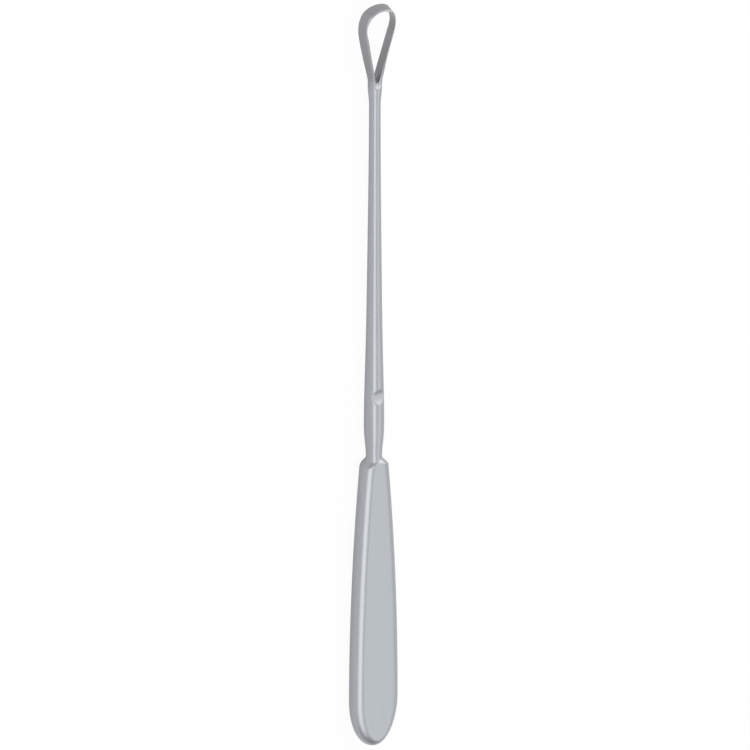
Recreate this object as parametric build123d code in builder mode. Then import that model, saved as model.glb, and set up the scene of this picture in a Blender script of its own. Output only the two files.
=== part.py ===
from build123d import *
import os
from math import asin, atan2, cos, hypot, radians, sin, tan

# Sharp uterine curette, forged and ground from one bar of stainless steel. It lies on the back face
# of its handle: +Y runs along the instrument to the loop, +X across it, +Z to the cutting side.
# A station is a distance in millimetres from the butt of the handle towards the loop.
os.makedirs("parts", exist_ok=True)

# Handle: a flat bar, widest near its rounded butt, with bevelled edges and round sides
handle_length = 109.1
handle_width = 19.0
handle_top_width = 10.15
handle_thickness = 7.15
butt_length = 18.0
bevel_height = 1.7
bevel_angle = 33.0
side_radius = 3.3

# Shoulder and neck: the end of the bar is turned to a cone that meets the round neck in a fillet
shoulder_angle = 42.0
shoulder_fillet = 2.1
neck_diameter = 5.58
neck_land = 1.2

# Shank: swells from the neck to a bulge, tapers slowly to a thin, straight end, thickens to the fork
bulge_diameter = 7.0
bulge_distance = 12.4
bulge_fullness = 0.6
taper_length = 117.2
taper_power = 1.55
thin_diameter = 4.0
thin_length = 3.5
flare_length = 8.5
fork_diameter = 4.7
nose_length = 4.5

# Thumb notch: a scoop across the front of the shank, steep on the side of the loop
notch_distance = 12.7
notch_depth = 1.0
notch_steep_length = 2.0
notch_gentle_length = 3.9

# Fork and loop: a ribbon on edge that leaves the shank, opens as a teardrop and leans forward.
# Widths are outside sizes of the back rim and of the front rim. Distances start at the crotch.
loop_depth = 3.8
loop_back = 2.15
loop_lean = 5.2
fork_length = 5.0
fork_root_width = 1.0
fork_width_back = 2.7
fork_width_front = 3.5
crotch_radius = 0.75
arm_distance = 9.0
arm_width_back = 8.0
arm_width_front = 7.1
head_distance = 22.1
head_width_back = 13.9
head_width_front = 12.5
head_fullness = 0.765
opening_fullness = 0.71
head_blend_length = 5.0
head_blend_inset = 0.75
opening_blend_inset = 1.1
nose_back = 7.2
nose_front = 6.1
ribbon_wall_back = 0.75
ribbon_wall_front = 0.6

# Cutting edge: the inside of the front rim is ground back to a thin land, over a share of its depth
edge_land = 0.25
edge_share = 0.08
crotch_bevel = 0.2

# Stations and heights that follow from the sizes above
axis_height = handle_thickness / 2
bulge_station = handle_length + bulge_distance
thin_station = bulge_station + taper_length
crotch_station = thin_station + thin_length + flare_length
overall_length = crotch_station + head_distance + nose_back
neck_radius = neck_diameter / 2
bulge_radius = bulge_diameter / 2
thin_radius = thin_diameter / 2
instrument_axis = Axis((0, 0, axis_height), (0, 1, 0))
axis_plane = Plane.XY.offset(axis_height)

# How far cutting tools reach past what they cut, in millimetres and as a share of the ribbon's depth
cut_margin = 1.0
rim_margin = 0.2
height_tolerance = 0.01


def along(station):
    return station - overall_length / 2


def between(start, end, share):
    return start + (end - start) * share


# Radius of the tapering shank at a distance past the bulge
def shank_radius(distance):
    return between(thin_radius, bulge_radius, (1 - distance / taper_length) ** taper_power)


# Each side of the handle is a parabola that is parallel to the axis where the butt begins
side_start = along(butt_length)
side_reach = handle_length - butt_length
side_drop = (handle_width - handle_top_width) / 2
blank_reach = side_reach + neck_land + cut_margin
blank_end = side_start + blank_reach
blank_end_width = handle_width - 2 * side_drop * (blank_reach / side_reach) ** 2


# The loop is drawn on planes that lean forward together. Level 0 is its back rim, 1 its front rim.
def rim_plane(level):
    height = axis_height - loop_back + level * loop_depth
    lean = radians(loop_lean)
    origin = (0, along(crotch_station), height)
    return Plane(origin, x_dir=(1, 0, 0), z_dir=(0, -sin(lean), cos(lean)))


# Half of the round head, from the end of an arm over its widest place to the tip
def head_points(half_width, nose, fullness, blend_inset):
    return [
        (half_width - blend_inset, head_distance - head_blend_length),
        (half_width, head_distance),
        (half_width * fullness, head_distance + nose * fullness),
        (0, head_distance + nose),
    ]


def mirrored(points):
    return points + [(-x, y) for x, y in reversed(points[:-1])]


# Outline of the outside of the ribbon, with the solid root of the fork
def outer_face(level):
    half_width = between(head_width_back, head_width_front, level) / 2
    arm = between(arm_width_back, arm_width_front, level) / 2
    nose = between(nose_back, nose_front, level)
    fork = between(fork_width_back, fork_width_front, level) / 2
    side = [
        (fork_root_width / 2, -fork_length),
        (fork, 0),
        (arm, arm_distance),
    ]
    points = mirrored(side + head_points(half_width, nose, head_fullness, head_blend_inset))
    with BuildSketch(rim_plane(level)) as outline:
        with BuildLine():
            Spline(*points, tangents=[(0, 1), (0, -1)])
            Line(points[-1], points[0])
        make_face()
    return outline.sketch


# Teardrop outline of the opening: a small arc at the crotch, two straight arms and the head.
# Where ground is 0 the ribbon keeps its full wall, and where it is 1 only the thin land is left.
def opening_face(level, ground):
    inset = between(between(ribbon_wall_back, ribbon_wall_front, level), edge_land, ground)
    half_width = between(head_width_back, head_width_front, level) / 2 - inset
    nose = between(nose_back, nose_front, level) - inset
    points = mirrored(head_points(half_width, nose, opening_fullness, opening_blend_inset))
    arm_end = points[0]
    radius = crotch_radius + ground * crotch_bevel
    reach = hypot(arm_end[0], arm_end[1] - crotch_radius)
    arm_angle = atan2(arm_end[0], arm_end[1] - crotch_radius) - asin(radius / reach)
    arm_start = (radius * cos(arm_angle), crotch_radius - radius * sin(arm_angle))
    slope = (arm_end[0] - arm_start[0], arm_end[1] - arm_start[1])
    with BuildSketch(rim_plane(level)) as outline:
        with BuildLine():
            ThreePointArc((-arm_start[0], arm_start[1]), (0, crotch_radius - radius), arm_start)
            Line(arm_start, arm_end)
            Spline(*points, tangents=[slope, (slope[0], -slope[1])])
            Line(points[-1], (-arm_start[0], arm_start[1]))
        make_face()
    return outline.sketch


with BuildPart() as curette:
    # Handle blank: the plan outline between two flat faces
    with BuildSketch(Plane.XY):
        with BuildLine():
            EllipticalCenterArc((0, side_start), handle_width / 2, butt_length, 180, arc_size=180)
            for side in (-1, 1):
                Bezier((side * handle_width / 2, side_start),
                       (side * handle_width / 2, side_start + blank_reach / 2),
                       (side * blank_end_width / 2, blank_end))
            Line((-blank_end_width / 2, blank_end), (blank_end_width / 2, blank_end))
        make_face()
    extrude(amount=handle_thickness)

    # Bevels along the front and back faces, then round sides between them
    bevel_reach = bevel_height / tan(radians(bevel_angle))
    for face in (curette.faces().sort_by(Axis.Z)[-1], curette.faces().sort_by(Axis.Z)[0]):
        rim = [edge for edge in face.edges() if edge.center().Y < blank_end - cut_margin / 2]
        chamfer(rim, bevel_reach, bevel_height, reference=face)
    wall_edges = [
        edge
        for height in (bevel_height, handle_thickness - bevel_height)
        for edge in curette.edges().filter_by_position(Axis.Z, height - height_tolerance, height + height_tolerance)
        if edge.center().Y < blank_end - cut_margin / 2
    ]
    fillet(wall_edges, side_radius)

    # Shoulder: what lies outside the turned cone, its fillet and the neck is cut away
    cone_radius = handle_width / 2
    cone_drop = (cone_radius - neck_radius) / tan(radians(shoulder_angle))
    neck_foot = (neck_radius, along(handle_length))
    neck_top = (neck_radius, along(handle_length + neck_land))
    with BuildSketch(axis_plane):
        with BuildLine():
            Polyline((cone_radius, along(handle_length - cone_drop)), neck_foot,
                     (neck_radius, blank_end + cut_margin), (cone_radius, blank_end + cut_margin),
                     close=True)
        make_face()
        fillet(vertices().sort_by_distance((*neck_foot, 0))[0], shoulder_fillet)
    revolve(axis=instrument_axis, mode=Mode.SUBTRACT)
    split(bisect_by=Plane.XZ.offset(-neck_top[1]), keep=Keep.TOP)

    # Shank: neck, bulge and taper, with a nose that ends inside the fork
    with BuildSketch(axis_plane):
        with BuildLine():
            swell = (between(neck_radius, bulge_radius, bulge_fullness),
                     between(neck_top[1], along(bulge_station), 0.5))
            bulge = (bulge_radius, along(bulge_station))
            taper = [
                (shank_radius(share * taper_length), along(bulge_station + share * taper_length))
                for share in (0.25, 0.5, 0.75, 1.0)
            ]
            flare_start = (thin_radius, along(thin_station + thin_length))
            fork = (fork_diameter / 2, along(crotch_station))
            nose = (0, along(crotch_station + nose_length))
            Line((0, neck_top[1]), neck_top)
            Spline(neck_top, swell, bulge, tangents=[(0, 1), (0, 1)])
            Spline(bulge, *taper, tangents=[(0, 1), (0, 1)])
            Line(taper[-1], flare_start)
            Spline(flare_start, fork, nose, tangents=[(0, 1), (-1, 0)])
            Line(nose, (0, neck_top[1]))
        make_face()
    revolve(axis=instrument_axis)

    # Thumb notch across the front of the shank
    with BuildSketch(Plane.YZ):
        with BuildLine():
            notch_station = bulge_station + notch_distance
            shank_top = axis_height + shank_radius(notch_distance)
            gentle_end = (along(notch_station - notch_gentle_length), shank_top)
            floor = (along(notch_station), shank_top - notch_depth)
            steep_end = (along(notch_station + notch_steep_length), shank_top)
            Spline(gentle_end, floor, steep_end)
            Line(steep_end, gentle_end)
        make_face()
    extrude(amount=bulge_diameter, both=True, mode=Mode.SUBTRACT)

    # Ribbon of the fork and loop, from its back rim to its front rim
    loft([outer_face(0), outer_face(1)], ruled=True)

    # Opening through the ribbon
    loft([opening_face(-rim_margin, 0), opening_face(1 + rim_margin, 0)],
         ruled=True, mode=Mode.SUBTRACT)

    # Cutting edge: the inside of the front rim is ground back, and the cut reaches a share past both ends
    loft([opening_face(1 - 2 * edge_share, -1), opening_face(1 + edge_share, 2)],
         ruled=True, mode=Mode.SUBTRACT)

curette.part.label = "curette"
export_step(curette.part, "parts/curette.step")
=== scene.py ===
import math
import bpy
import numpy as np
from mathutils import Matrix, Vector


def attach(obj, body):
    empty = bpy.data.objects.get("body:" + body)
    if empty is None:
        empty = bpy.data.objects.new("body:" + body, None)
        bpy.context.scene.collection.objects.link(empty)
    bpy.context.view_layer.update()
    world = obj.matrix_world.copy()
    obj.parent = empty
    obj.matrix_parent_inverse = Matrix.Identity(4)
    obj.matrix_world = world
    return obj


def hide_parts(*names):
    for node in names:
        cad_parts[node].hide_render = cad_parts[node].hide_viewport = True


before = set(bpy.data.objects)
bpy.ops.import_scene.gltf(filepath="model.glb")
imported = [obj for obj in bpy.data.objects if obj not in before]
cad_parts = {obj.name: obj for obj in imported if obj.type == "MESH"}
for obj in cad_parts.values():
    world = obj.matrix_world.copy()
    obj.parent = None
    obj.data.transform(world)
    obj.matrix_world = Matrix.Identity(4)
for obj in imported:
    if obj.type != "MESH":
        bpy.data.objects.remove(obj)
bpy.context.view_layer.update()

print("stage: frame loaded")

# Y runs along the instrument to the loop, X across it, Z to the cutting side. Sizes are in millimetres.
mm = 0.001
bpy.context.scene.view_settings.view_transform = "Standard"


def hexColour(text):
    # sRGB hex to linear RGBA
    channels = [int(text[i:i + 2], 16) / 255 for i in (1, 3, 5)]
    return [c / 12.92 if c <= 0.04045 else ((c + 0.055) / 1.055) ** 2.4 for c in channels] + [1.0]


def addNode(material, kind, links=None, inputs=None, **settings):
    # one node with its settings, its plain inputs and the links into it
    tree = material.node_tree
    node = tree.nodes.new(kind)
    for name, value in settings.items():
        setattr(node, name, value)
    for name, value in (inputs or {}).items():
        node.inputs[name].default_value = value
    for name, socket in (links or {}).items():
        tree.links.new(socket, node.inputs[name])
    return node


def between(start, end, share):
    return start + (end - start) * share


def smoothCurve(points, count, startDirection=None, endDirection=None):
    # cubic spline through points, with the distance between points as its parameter. The slopes at the
    # points solve one linear system, and a missing end direction leaves that end without curvature.
    points = np.array(points, float)
    steps = np.hypot(*np.diff(points, axis=0).T)
    knots = np.concatenate(([0], np.cumsum(steps)))
    size = len(points)
    system = np.zeros((size, size))
    target = np.zeros((size, 2))
    inner = np.arange(1, size - 1)
    system[inner, inner - 1] = 1 / steps[:-1]
    system[inner, inner] = 2 / steps[:-1] + 2 / steps[1:]
    system[inner, inner + 1] = 1 / steps[1:]
    rise = np.diff(points, axis=0) / steps[:, None] ** 2
    target[inner] = 3 * (rise[:-1] + rise[1:])
    for row, beside, direction, end in ((0, 1, startDirection, rise[0]), (-1, -2, endDirection, rise[-1])):
        if direction is None:
            system[row, row], system[row, beside] = 2, 1
            target[row] = 3 * end * (steps[0] if row == 0 else steps[-1])
        else:
            system[row, row] = 1
            target[row] = np.array(direction) / np.hypot(*direction)
    slopes = np.linalg.solve(system, target)
    places = np.linspace(0, knots[-1], count)
    span = np.clip(np.searchsorted(knots, places, side="right") - 1, 0, size - 2)
    step = steps[span][:, None]
    t = ((places - knots[span]) / steps[span])[:, None]
    return ((2 * t ** 3 - 3 * t ** 2 + 1) * points[span] + (t ** 3 - 2 * t ** 2 + t) * step * slopes[span]
            + (3 * t ** 2 - 2 * t ** 3) * points[span + 1] + (t ** 3 - t ** 2) * step * slopes[span + 1])


def softMin(a, b, width):
    # the smaller of two values, with a round of the given width where they cross
    mix = np.clip(0.5 + 0.5 * (b - a) / width, 0, 1)
    return b + (a - b) * mix - width * mix * (1 - mix)


# the CAD part's sizes, apart from the notch's, and then what this surface adds
forging = {
    "handleLength": 109.1, "handleWidth": 19.0, "handleTopWidth": 10.15, "thickness": 7.15,
    "buttLength": 18.0, "bevelHeight": 1.7, "bevelAngle": 33.0, "sideRadius": 3.3,
    "shoulderAngle": 42.0, "shoulderFillet": 2.1, "neck": 5.58, "neckLand": 1.2,
    "bulge": 7.0, "bulgeDistance": 12.4, "bulgeFullness": 0.6,
    "taperLength": 117.2, "taperPower": 1.55, "thin": 4.0, "thinLength": 3.5,
    "flareLength": 8.5, "fork": 4.7, "noseLength": 4.5,
    "notchDistance": 12.0, "notchDepth": 1.0, "notchSteep": 2.7, "notchGentle": 3.2,
    "notchRise": 0.55,     # mm up for each mm past the ends of the notch
    "edgeRound": 0.22,     # worn round along the edges of the shoulder
    "faceRound": 0.5,      # the same along the edge of the flat face, which is polished rounder
    "notchRound": 0.3,     # the same along the edge of the notch
    "rimSlope": 3.0,       # length of the slope from the round fork down to the front rim of the loop
    "slopeHeight": 2.75,   # height of its start over the axis, just above the fork
    "rimCover": 0.02,      # how far its end stays above the rim
    # where the rings lie closer: stations, mm before and after the notch, a station and mm before the crotch
    "shoulderRings": (99, 111), "notchRings": (5, 3), "forkRings": (240, 3),
    # rings on the butt, handle, shoulder, bulge, notch, taper, fork, slope to the rim and nose
    "ringCounts": (50, 42, 90, 26, 70, 46, 18, 24, 24),
    "topColumns": 18, "bevelColumns": 8, "sideColumns": 14,
    "swellPoints": 80, "taperPoints": 200, "flarePoints": 120, "notchPoints": 120,
    "leastFaceAngle": 0.25, "leastBevelAngle": 0.2,    # radians, so that the columns stay in order
    "bevelFoot": 0.72,     # mm from the flat face to the foot of the bevel's round
    "handleReach": 2,      # mm past the shoulder to which the handle's skin is looked at
    "rayReach": 15.0,      # mm from the axis: outside the handle's skin
    "faceReach": 10.0,     # mm from the middle: outside the flat face
    "frontLimit": 0.05,    # rays that rise less than this share of their length aren't cut by the notch
}

# the CAD part's sizes, with a thinner front rim and a slightly slimmer head. Pairs are the back rim's
# value and the front rim's.
loop = {
    "depth": 3.8, "back": 2.15, "lean": 5.2, "forkLength": 5.0, "forkRoot": 1.0,
    "fork": (2.7, 3.5), "crotchRadius": 0.75, "crotchBevel": 0.2, "armDistance": 9.0, "arm": (8.0, 7.1),
    "headDistance": 22.1, "head": (13.9, 12.5), "fullness": 0.752, "openingFullness": 0.71,
    "blendLength": 5.0, "blendInset": 0.75, "openingBlendInset": 1.1, "nose": (7.2, 6.1),
    "wall": (0.75, 0.45), "edgeLand": 0.38, "edgeShare": 0.04, "forkBlend": 1.0,
    "bevel": 0.3, "bevelShare": 0.08,    # ground along the outside of the front rim: mm, share of depth
    "outerPoints": 260, "innerPoints": 240, "arcPoints": 40, "armPoints": 30, "ribbonLevels": 14,
    "sideSink": 0.06, "sideCover": 0.03,  # the root starts inside the shank and ends round its sides
    "backSink": 0.1, "backRun": 4.0, "backDrop": 1.5, "backRound": 0.3,    # the same under its back rim
    "cutFrom": -0.2, "cutTo": 1.3,    # how far the opening goes past the rims, as shares of the depth
    "sharpFrom": 20,                  # degrees: ground edges turn by more, and stay sharp
}

halvings = 30     # steps of the searches for a crossing
clear = 20.0      # mm over the axis: above all of the instrument

axisHeight = forging["thickness"] / 2
bulgeStation = forging["handleLength"] + forging["bulgeDistance"]
thinStation = bulgeStation + forging["taperLength"]
crotchStation = thinStation + forging["thinLength"] + forging["flareLength"]
overallLength = crotchStation + loop["headDistance"] + loop["nose"][0]


def handleHalfWidth(station):
    # parabola from the widest place at the butt to the shoulder
    f = forging
    share = (station - f["buttLength"]) / (f["handleLength"] - f["buttLength"])
    return f["handleWidth"] / 2 - (f["handleWidth"] - f["handleTopWidth"]) / 2 * np.clip(share, 0, 1.1) ** 2


def handleInset(x, station):
    # distance inside the plan outline: across the bar on its long sides, and round the butt the ellipse's
    # level function divided by the length of its gradient
    f = forging
    a, b = f["handleWidth"] / 2, f["buttLength"]
    q = np.maximum(b - station, 0)
    level = np.sqrt((x / a) ** 2 + (q / b) ** 2) + 1e-9
    gradient = np.sqrt((x / a ** 2) ** 2 + (q / b ** 2) ** 2) / level + 1e-9
    return np.where(station < b, (1 - level) / gradient, handleHalfWidth(station) - np.abs(x))


def handleHeight(inset):
    # half thickness over the inset: a round side, then the bevel, then the flat face, with a soft edge
    f = forging
    turn = math.radians(90 - f["bevelAngle"])
    corner = f["thickness"] / 2 - f["bevelHeight"]
    start = corner - f["sideRadius"] * math.tan(turn / 2)
    inside = np.maximum(inset, 0)
    side = start + np.sqrt(np.maximum(f["sideRadius"] ** 2 - (f["sideRadius"] - inside) ** 2, 0))
    bevel = corner + inside * math.tan(math.radians(f["bevelAngle"]))
    height = np.where(inside < f["sideRadius"] * (1 - math.cos(turn)), side, bevel)
    return softMin(height, f["thickness"] / 2, f["faceRound"])


def handleRadius(station, angle):
    # distance from the axis to the handle's skin along each ray, by halving an interval
    low = np.zeros(np.broadcast(station, angle).shape)
    high = np.full_like(low, forging["rayReach"])
    for halving in range(halvings):
        middle = (low + high) / 2
        x, z = middle * np.sin(angle), middle * np.cos(angle)
        inset = handleInset(x, station)
        inside = (inset > 0) & (np.abs(z) < handleHeight(inset))
        low, high = np.where(inside, middle, low), np.where(inside, high, middle)
    return low


def turnedRadius(station):
    # cone of the shoulder, its fillet, the neck, the bulge, the taper and the flare to the fork
    f = forging
    neck, bulge, thin = f["neck"] / 2, f["bulge"] / 2, f["thin"] / 2
    landEnd = f["handleLength"] + f["neckLand"]
    slope = math.radians(f["shoulderAngle"])
    filletEnd = f["handleLength"] + f["shoulderFillet"] * math.tan(slope / 2)
    filletStart = filletEnd - f["shoulderFillet"] * math.sin(slope)
    cone = neck + (f["handleLength"] - station) * math.tan(slope)
    rest = np.maximum(f["shoulderFillet"] ** 2 - (filletEnd - station) ** 2, 0)
    fillet = neck + f["shoulderFillet"] - np.sqrt(rest)
    middle = ((landEnd + bulgeStation) / 2, between(neck, bulge, f["bulgeFullness"]))
    swell = smoothCurve([(landEnd, neck), middle, (bulgeStation, bulge)], f["swellPoints"], (1, 0), (1, 0))
    shares = np.array([0, 0.25, 0.5, 0.75, 1.0])
    radii = between(thin, bulge, (1 - shares) ** f["taperPower"])
    taper = smoothCurve(np.column_stack((bulgeStation + shares * f["taperLength"], radii)),
                        f["taperPoints"], (1, 0), (1, 0))
    flare = smoothCurve([(thinStation + f["thinLength"], thin), (crotchStation, f["fork"] / 2),
                         (crotchStation + f["noseLength"], 0)], f["flarePoints"], (1, 0), (0, -1))
    line = np.vstack((swell, taper[1:], flare))
    shank = np.interp(station, line[:, 0], line[:, 1])
    return np.where(station < filletStart, cone, np.where(station < filletEnd, fillet, shank))


def notchHeight(station):
    # floor of the thumb notch over the axis, which goes on rising past both ends of the notch
    f = forging
    middle = bulgeStation + f["notchDistance"]
    top = turnedRadius(np.array([middle]))[0]
    floor = smoothCurve([(middle - f["notchGentle"], top), (middle, top - f["notchDepth"]),
                         (middle + f["notchSteep"], top)], f["notchPoints"])
    away = np.maximum(np.maximum(floor[0, 0] - station, station - floor[-1, 0]), 0)
    return np.interp(station, floor[:, 0], floor[:, 1]) + f["notchRise"] * away


def frontHeight(station):
    # the front is cut down by the notch, and slopes to the loop's front rim over the last of the fork
    # by the smooth step 3t^2 - 2t^3
    f = forging
    ahead = station - crotchStation
    rim = loop["depth"] - loop["back"] + ahead * math.tan(math.radians(loop["lean"])) + f["rimCover"]
    t = np.clip(ahead / f["rimSlope"] + 1, 0, 1)
    slope = between(f["slopeHeight"], rim, t * t * (3 - 2 * t))
    return np.minimum(notchHeight(station), np.where(t > 0, slope, clear))


def forgingRows():
    # stations of the rings: close together at the butt, the shoulder, the notch and the nose
    f = forging
    notch = bulgeStation + f["notchDistance"]
    notchStart, notchEnd = notch - f["notchRings"][0], notch + f["notchRings"][1]
    butt, *counts, nose = f["ringCounts"]
    places = [f["buttLength"], *f["shoulderRings"], notchStart, notchEnd, f["forkRings"][0],
              crotchStation - f["forkRings"][1], crotchStation]
    spans = [f["buttLength"] * np.linspace(0, 1, butt)[1:] ** 2]
    spans += [np.linspace(start, end, count) for start, end, count in zip(places, places[1:], counts)]
    spans.append(crotchStation + f["noseLength"] * np.sin(np.linspace(0, math.pi / 2, nose))[:-1])
    return np.unique(np.round(np.concatenate(spans), 4))


def forgingAngles(rows):
    # angles from the front face round to the back: columns meet at the edge of the flat face and at the
    # foot of the bevel, so both edges run along the grid
    f = forging
    turn = math.radians(90 - f["bevelAngle"])
    bevelReach = f["bevelHeight"] / math.tan(math.radians(f["bevelAngle"]))
    place = np.minimum(rows, f["handleLength"])
    low, high = np.zeros(len(rows)), np.full(len(rows), f["faceReach"])
    for halving in range(halvings):
        middle = (low + high) / 2
        inside = handleInset(middle, place) > bevelReach
        low, high = np.where(inside, middle, low), np.where(inside, high, middle)
    faceAngle = np.maximum(np.arctan2(low, axisHeight), f["leastFaceAngle"])
    sideInset = f["sideRadius"] * (1 - math.cos(turn))
    sideAngle = np.arctan2(low + bevelReach - sideInset, axisHeight - f["bevelFoot"])
    sideAngle = np.maximum(sideAngle, faceAngle + f["leastBevelAngle"])
    ends = (faceAngle, sideAngle, np.full(len(rows), math.pi / 2))
    starts = (np.zeros(len(rows)),) + ends[:2]
    counts = (f["topColumns"], f["bevelColumns"], f["sideColumns"])
    quarter = np.hstack([between(a[:, None], b[:, None], np.arange(n) / n)
                         for a, b, n in zip(starts, ends, counts)])
    half = np.hstack((quarter, np.full((len(rows), 1), math.pi / 2), math.pi - quarter[:, :0:-1]))
    return np.hstack((half, np.full((len(rows), 1), math.pi), 2 * math.pi - half[:, :0:-1]))


def ringFaces(rings, columns):
    # quads between neighbouring rings of a closed grid
    ring, column = np.meshgrid(np.arange(rings - 1), np.arange(columns), indexing="ij")
    beside = (column + 1) % columns
    quads = np.stack((ring * columns + column, ring * columns + beside,
                      (ring + 1) * columns + beside, (ring + 1) * columns + column), axis=-1)
    return quads.reshape(-1, 4).tolist()


def makeMesh(name, points, faces):
    mesh = bpy.data.meshes.new(name)
    mesh.from_pydata((np.asarray(points) * mm).tolist(), [], faces)
    mesh.validate()
    piece = bpy.data.objects.new(name, mesh)
    bpy.context.scene.collection.objects.link(piece)
    return piece


def makeForging():
    # handle, shank and nose as one skin: on each ring the radius is the smaller of the handle's and the
    # turned profile's, cut by the notch. Both ends close in one point.
    rows = forgingRows()
    angles = forgingAngles(rows)
    station = rows[:, None]
    turned = turnedRadius(station) * np.ones_like(angles)
    handle = handleRadius(station, angles)
    radius = np.where(station < forging["handleLength"] + forging["handleReach"],
                      softMin(handle, turned, forging["edgeRound"]), turned)
    front = np.cos(angles) > forging["frontLimit"]
    cut = frontHeight(station) / np.where(front, np.cos(angles), 1)
    radius = np.where(front & (cut < clear), softMin(radius, cut, forging["notchRound"]), radius)
    x, z = radius * np.sin(angles), axisHeight + radius * np.cos(angles)
    y = np.broadcast_to(station - overallLength / 2, x.shape)
    ends = [(0, -overallLength / 2, axisHeight),
            (0, crotchStation + forging["noseLength"] - overallLength / 2, axisHeight)]
    points = np.vstack((np.stack((x, y, z), axis=-1).reshape(-1, 3), ends))
    rings, columns = angles.shape
    faces = ringFaces(rings, columns)
    column = np.arange(columns)
    last = (rings - 1) * columns
    beside, pole = np.roll(column, -1), np.full(columns, rings * columns)
    faces += np.column_stack((beside, column, pole)).tolist()
    faces += np.column_stack((last + column, last + beside, pole + 1)).tolist()
    return makeMesh("forging", points, faces)


def headPoints(halfWidth, nose, fullness, inset):
    # points of the round head, from the end of one arm over its widest place and the tip to the other
    l = loop
    side = [(halfWidth - inset, l["headDistance"] - l["blendLength"]), (halfWidth, l["headDistance"]),
            (halfWidth * fullness, l["headDistance"] + nose * fullness), (0, l["headDistance"] + nose)]
    return side + [(-x, y) for x, y in reversed(side[:-1])]


def outerOutline(level):
    # spline round the outside of the ribbon, from one side of its root round the head to the other
    l = loop
    head = headPoints(between(*l["head"], level) / 2, between(*l["nose"], level),
                      l["fullness"], l["blendInset"])
    side = [(l["forkRoot"] / 2, -l["forkLength"]), (between(*l["fork"], level) / 2, 0),
            (between(*l["arm"], level) / 2, l["armDistance"])]
    points = side + head + [(-x, y) for x, y in reversed(side)]
    return smoothCurve(points, l["outerPoints"], (0, 1), (0, -1))


def movedIn(outline, distance):
    # each point of the outline goes inwards by the distance along its normal
    onward = np.gradient(outline, axis=0)
    return outline + distance * np.column_stack((-onward[:, 1], onward[:, 0])) / np.hypot(*onward.T)[:, None]


def openingOutline(level, ground):
    # small arc at the crotch, a straight arm, the spline of the head and the other arm. Where ground is 0
    # the ribbon keeps its wall, and where it is 1 only the thin land is left.
    l = loop
    inset = between(between(*l["wall"], level), l["edgeLand"], ground)
    points = headPoints(between(*l["head"], level) / 2 - inset, between(*l["nose"], level) - inset,
                        l["openingFullness"], l["openingBlendInset"])
    radius = l["crotchRadius"] + ground * l["crotchBevel"]
    endX, endY = points[0]
    armAngle = math.atan2(endX, endY - l["crotchRadius"]) - math.asin(
        radius / math.hypot(endX, endY - l["crotchRadius"]))
    startX, startY = radius * math.cos(armAngle), l["crotchRadius"] - radius * math.sin(armAngle)
    slope = (endX - startX, endY - startY)
    arcTurn = np.linspace(-math.pi + armAngle, -armAngle, l["arcPoints"])
    arc = np.column_stack((radius * np.cos(arcTurn), l["crotchRadius"] + radius * np.sin(arcTurn)))
    head = smoothCurve(points, l["innerPoints"] - l["arcPoints"] - 2 * l["armPoints"], slope,
                       (slope[0], -slope[1]))
    share = np.arange(1, l["armPoints"] + 1)[:, None] / (l["armPoints"] + 1)
    right = between(np.array([[startX, startY]]), np.array([[endX, endY]]), share)
    left = right[::-1] * (-1, 1)
    return np.vstack((arc, right, head, left))


def leaningLoft(name, outlines, levels, swollen=False):
    # outlines laid on planes that lean forward together, joined by straight faces and closed by two caps.
    # A swollen one is as wide as the round shank where that is wider, with a soft change between the two.
    l = loop
    lean = math.radians(l["lean"])
    outline = np.stack(outlines)
    height = axisHeight - l["back"] + np.array(levels)[:, None] * l["depth"]
    x = outline[..., 0]
    y = crotchStation - overallLength / 2 + outline[..., 1] * math.cos(lean)
    z = height + outline[..., 1] * math.sin(lean)
    if swollen:
        # beyond goes from 0 to 1 between 1 and 3 mm past the end of the root
        beyond = np.clip((outline[..., 1] + l["forkLength"]) / 2 - 0.5, 0, 1)
        shank = turnedRadius(y + overallLength / 2) + between(-l["sideSink"], l["sideCover"], beyond)
        roundWidth = np.sqrt(np.maximum(shank ** 2 - (z - axisHeight) ** 2, 0))
        x = -np.sign(x) * softMin(-np.abs(x), -roundWidth, l["forkBlend"])
        # the back rim starts inside the shank and comes out of it just before the crotch
        ahead = y + overallLength / 2 - crotchStation
        drop = l["backDrop"] * np.clip(ahead / l["backRun"] + 1, 0, 1) ** 2
        lowest = turnedRadius(crotchStation + np.minimum(ahead, 0)) - l["backSink"] + drop
        z = axisHeight - softMin(axisHeight - z, lowest, l["backRound"])
    rings, columns = x.shape
    faces = ringFaces(rings, columns)
    faces.append(list(range(columns))[::-1])
    faces.append(list(range((rings - 1) * columns, rings * columns)))
    return makeMesh(name, np.stack((x, y, z), axis=-1).reshape(-1, 3), faces)


def joinOrCut(piece, other, operation):
    # the piece takes the mesh that the Boolean gives, and the other piece goes
    step = piece.modifiers.new(operation.lower(), "BOOLEAN")
    step.operation = operation
    step.solver = "EXACT"
    step.object = other
    depsgraph = bpy.context.evaluated_depsgraph_get()
    mesh = bpy.data.meshes.new_from_object(piece.evaluated_get(depsgraph))
    piece.modifiers.remove(step)
    piece.data = mesh
    bpy.data.objects.remove(other)


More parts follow.
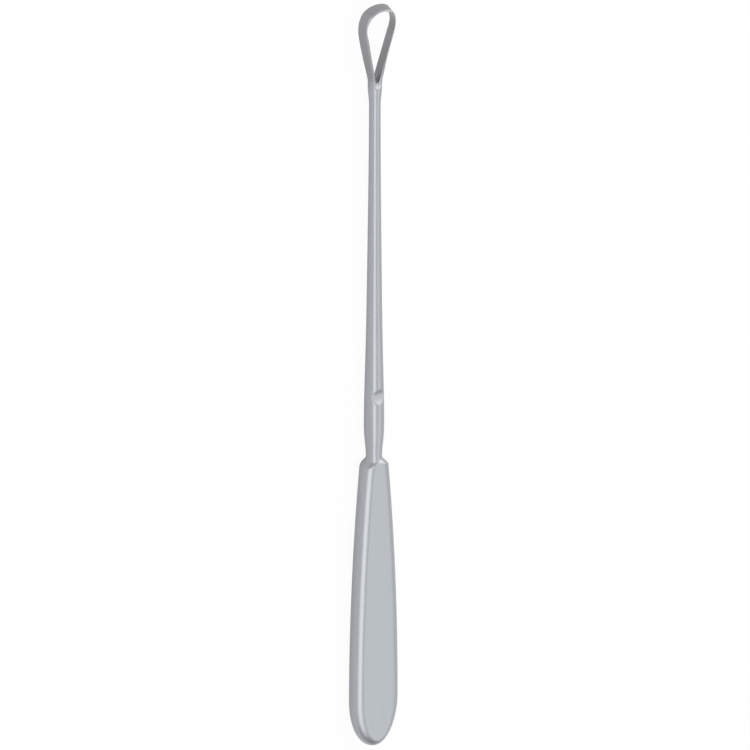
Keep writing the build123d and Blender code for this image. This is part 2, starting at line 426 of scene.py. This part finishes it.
def makeCurette():
    # the forging with the ribbon joined to it, the opening cut through both, and soft shading that stops
    # at the ground edges
    piece = makeForging()
    levels = np.append(np.linspace(0, 1 - loop["bevelShare"], loop["ribbonLevels"]), 1)
    outlines = [outerOutline(level) for level in levels[:-1]] + [movedIn(outerOutline(1), loop["bevel"])]
    joinOrCut(piece, leaningLoft("ribbon", outlines, levels, True), "UNION")
    # the opening goes past both rims, and widens across the front one to grind its inner edge
    share = loop["edgeShare"]
    steps = [(loop["cutFrom"], 0), (1 - share, 0), (1 + share, 2), (loop["cutTo"], 2)]
    outlines = [openingOutline(level, ground) for level, ground in steps]
    joinOrCut(piece, leaningLoft("opening", outlines, [level for level, ground in steps]), "DIFFERENCE")
    piece.name = "forgedCurette"
    piece.data.name = "forgedCurette"
    piece.data.polygons.foreach_set("use_smooth", np.ones(len(piece.data.polygons), bool))
    piece.data.set_sharp_from_angle(angle=math.radians(loop["sharpFrom"]))
    return piece


curette = makeCurette()
print("stage: curette", len(curette.data.polygons), "faces")

steel = {
    "colour": "#C2C5C8",
    "streakColour": "#B2B5B9",
    "loopShadeColour": "#A9A9AB",    # painted shade: the loop is darker, standing in for the shaded floor close under it that its steel mirrors
    "loopShadeStart": (108, 114),    # mm along Y: where the loop's painted shade begins and where it is full
    "roughness": (0.28, 0.36),
    "streak": (0.5, 14.0),      # mm across and along a polishing streak
    "grain": 0.5,               # mm: the real blasted grain of 0.05 mm is drawn ten times as coarse to show
    "grainHeight": 0.006,       # mm
}


def makeSatinSteel():
    # forged stainless steel, glass-beaded and then polished lengthwise by hand: a soft grey mirror with
    # wide highlights, faint streaks along the bar and a fine even grain
    material = bpy.data.materials.new("satin_stainless_steel")
    material.use_nodes = True
    material.node_tree.nodes.clear()
    place = addNode(material, "ShaderNodeTexCoord")
    along = addNode(material, "ShaderNodeSeparateXYZ", links={0: place.outputs["Object"]})
    # where the painted shade of the loop comes in along Y
    toLoopShade = addNode(material, "ShaderNodeMapRange", links={"Value": along.outputs["Y"]}, inputs={
        "From Min": steel["loopShadeStart"][0] * mm, "From Max": steel["loopShadeStart"][1] * mm})
    across, lengthwise = [1 / (size * mm) for size in steel["streak"]]
    stretched = addNode(material, "ShaderNodeMapping", links={"Vector": place.outputs["Object"]},
                        inputs={"Scale": (across, lengthwise, across)})
    streaks = addNode(material, "ShaderNodeTexNoise", links={"Vector": stretched.outputs[0]},
                      inputs={"Scale": 1.0, "Detail": 3.0, "Roughness": 0.6})
    grain = addNode(material, "ShaderNodeTexNoise", links={"Vector": place.outputs["Object"]},
                    inputs={"Scale": 1 / (steel["grain"] * mm), "Detail": 2.0, "Roughness": 0.5})
    streaked = addNode(material, "ShaderNodeMix", data_type="RGBA", links={"Factor": streaks.outputs["Fac"]},
                       inputs={6: hexColour(steel["streakColour"]), 7: hexColour(steel["colour"])})
    # painted shade: the loop gets a darker colour, standing in for the shaded floor it mirrors
    colour = addNode(material, "ShaderNodeMix", data_type="RGBA", inputs={7: hexColour(steel["loopShadeColour"])},
                     links={"Factor": toLoopShade.outputs[0], 6: streaked.outputs[2]})
    roughness = addNode(material, "ShaderNodeMapRange", links={"Value": streaks.outputs["Fac"]}, inputs={
        "From Min": 0.3, "From Max": 0.7, "To Min": steel["roughness"][0], "To Max": steel["roughness"][1]})
    bump = addNode(material, "ShaderNodeBump", links={"Height": grain.outputs["Fac"]},
                   inputs={"Strength": 1.0, "Distance": steel["grainHeight"] * mm})
    shader = addNode(material, "ShaderNodeBsdfPrincipled", inputs={"Metallic": 1.0}, links={
        "Base Color": colour.outputs[2], "Roughness": roughness.outputs[0], "Normal": bump.outputs[0]})
    addNode(material, "ShaderNodeOutputMaterial", links={"Surface": shader.outputs["BSDF"]})
    return material


curette.data.materials.append(makeSatinSteel())
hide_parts("curette")
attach(curette, "root")
print("stage: steel on the instrument")

light = {
    "room": "#EAECEE",
    "ends": "#9A9BA0",         # the darker walls beyond the butt and beyond the loop
    "endsFrom": (0.68, 0.96),  # share of a direction along Y at which they begin and are full
    "strength": 0.93,
    # long lamps over the instrument: degrees from straight up towards +X, width in m, watts
    "strips": {"stripLight": (-30, 0.55, 5.2), "fillLight": (31, 0.7, 2.4)},
    "stripLength": 3.6,
    "stripHeight": 1.2,
    # square lamps aimed at the instrument: place and side in m, watts. The first is low beside the loop
    # and shines in the shoulder, the second is high over the loop's side and shines in the notch.
    "patches": {"shoulderLight": ((1.0, 0.5, 0.3), 0.85, 2.2), "notchLight": ((0.6, 0.45, 0.88), 0.4, 0.35)},
}

world = bpy.data.worlds.new("softRoom")
bpy.context.scene.world = world
world.use_nodes = True
background = world.node_tree.nodes["Background"]
background.inputs["Strength"].default_value = light["strength"]
direction = addNode(world, "ShaderNodeTexCoord")
along = addNode(world, "ShaderNodeSeparateXYZ", links={0: direction.outputs["Generated"]})
towardsEnd = addNode(world, "ShaderNodeMath", operation="ABSOLUTE", links={0: along.outputs["Y"]})
farEnd = addNode(world, "ShaderNodeMapRange", links={"Value": towardsEnd.outputs[0]},
                 inputs={"From Min": light["endsFrom"][0], "From Max": light["endsFrom"][1]})
room = addNode(world, "ShaderNodeMix", data_type="RGBA", links={"Factor": farEnd.outputs[0]},
               inputs={6: hexColour(light["room"]), 7: hexColour(light["ends"])})
world.node_tree.links.new(room.outputs[2], background.inputs["Color"])


def addLamp(name, width, length, power, place):
    # a flat lamp that the camera doesn't see
    lamp = bpy.data.lights.new(name, "AREA")
    lamp.shape = "RECTANGLE"
    lamp.size = width
    lamp.size_y = length
    lamp.energy = power
    holder = bpy.data.objects.new(name, lamp)
    bpy.context.scene.collection.objects.link(holder)
    holder.matrix_world = place
    holder.visible_camera = False


for name, (angle, width, power) in light["strips"].items():
    turn = Matrix.Rotation(math.radians(angle), 4, "Y")
    addLamp(name, width, light["stripLength"], power, turn @ Matrix.Translation((0, 0, light["stripHeight"])))
for name, (place, side, power) in light["patches"].items():
    aim = Vector(place).to_track_quat("Z", "Y").to_matrix().to_4x4()
    addLamp(name, side, side, power, Matrix.Translation(place) @ aim)
print("stage: lights")

view = {
    "turn": 36.0,        # degrees about the long axis
    "tip": 25.0,         # degrees that the camera leans to the loop end
    "lens": 1500.0,      # mm: very long, because the picture shows no perspective
    "sensor": 36.0,
    "pixels": 750,       # width of the frame
    "pixel": 0.3428,     # mm of the object for one pixel
    "aimRight": 0.3,     # mm that the aim lies beside and above the middle of the instrument
    "aimUp": 0.35,
    "roll": 0.15,        # degrees
}


def makeCamera():
    # a long lens over the lying instrument, rolled so that the loop is at the top of the picture
    turn, tip = math.radians(view["turn"]), math.radians(view["tip"])
    back = Vector((-math.sin(turn) * math.cos(tip), math.sin(tip), math.cos(turn) * math.cos(tip)))
    level = Vector((math.cos(turn), 0, math.sin(turn)))
    right = Matrix.Rotation(math.radians(view["roll"]), 3, back) @ level
    up = back.cross(right)
    distance = view["pixels"] * view["pixel"] * mm * view["lens"] / view["sensor"]
    target = Vector((0, 0, axisHeight * mm)) + (right * view["aimRight"] + up * view["aimUp"]) * mm
    data = bpy.data.cameras.new("camera")
    data.lens = view["lens"]
    data.sensor_width = view["sensor"]
    data.clip_end = 40    # m
    camera = bpy.data.objects.new("camera", data)
    bpy.context.scene.collection.objects.link(camera)
    place = Matrix((right, up, back)).transposed().to_4x4()
    place.translation = target + back * distance
    camera.matrix_world = place
    bpy.context.scene.camera = camera


makeCamera()

paperFloor = {
    "side": 3.0,          # m from the middle
    "paper": "#FAFAFA",
    "shade": "#D8D6D7",   # what the steel sees of it
    "whiteInView": 0.93,
    "whiteInMetal": 0.25,
}


def makeFloor():
    # white paper: nearly all white to the camera with a trace of the instrument's shadow, a little
    # greyer in mirrors
    mesh = bpy.data.meshes.new("floor")
    side = paperFloor["side"]
    corners = [(-side, -side, 0), (side, -side, 0), (side, side, 0), (-side, side, 0)]
    mesh.from_pydata(corners, [], [(0, 1, 2, 3)])
    floor = bpy.data.objects.new("floor", mesh)
    bpy.context.scene.collection.objects.link(floor)
    material = bpy.data.materials.new("white_paper")
    material.use_nodes = True
    material.node_tree.nodes.clear()
    paper = addNode(material, "ShaderNodeBsdfDiffuse", inputs={"Color": hexColour(paperFloor["paper"])})
    shade = addNode(material, "ShaderNodeBsdfDiffuse", inputs={"Color": hexColour(paperFloor["shade"])})
    white = addNode(material, "ShaderNodeEmission", inputs={"Color": hexColour("#FFFFFF"), "Strength": 1.0})
    path = addNode(material, "ShaderNodeLightPath")
    mirrored = addNode(material, "ShaderNodeMath", operation="MAXIMUM", links={
        0: path.outputs["Is Glossy Ray"], 1: path.outputs["Is Transmission Ray"]})
    share = addNode(material, "ShaderNodeMath", operation="MULTIPLY", links={0: mirrored.outputs[0]},
                    inputs={1: paperFloor["whiteInMetal"]})
    inMetal = addNode(material, "ShaderNodeMixShader", links={
        0: share.outputs[0], 1: shade.outputs[0], 2: white.outputs[0]})
    inView = addNode(material, "ShaderNodeMixShader", inputs={0: paperFloor["whiteInView"]}, links={
        1: paper.outputs[0], 2: white.outputs[0]})
    mix = addNode(material, "ShaderNodeMixShader", links={
        0: path.outputs["Is Camera Ray"], 1: inMetal.outputs[0], 2: inView.outputs[0]})
    addNode(material, "ShaderNodeOutputMaterial", links={"Surface": mix.outputs[0]})
    mesh.materials.append(material)


makeFloor()
print("stage: camera and floor")
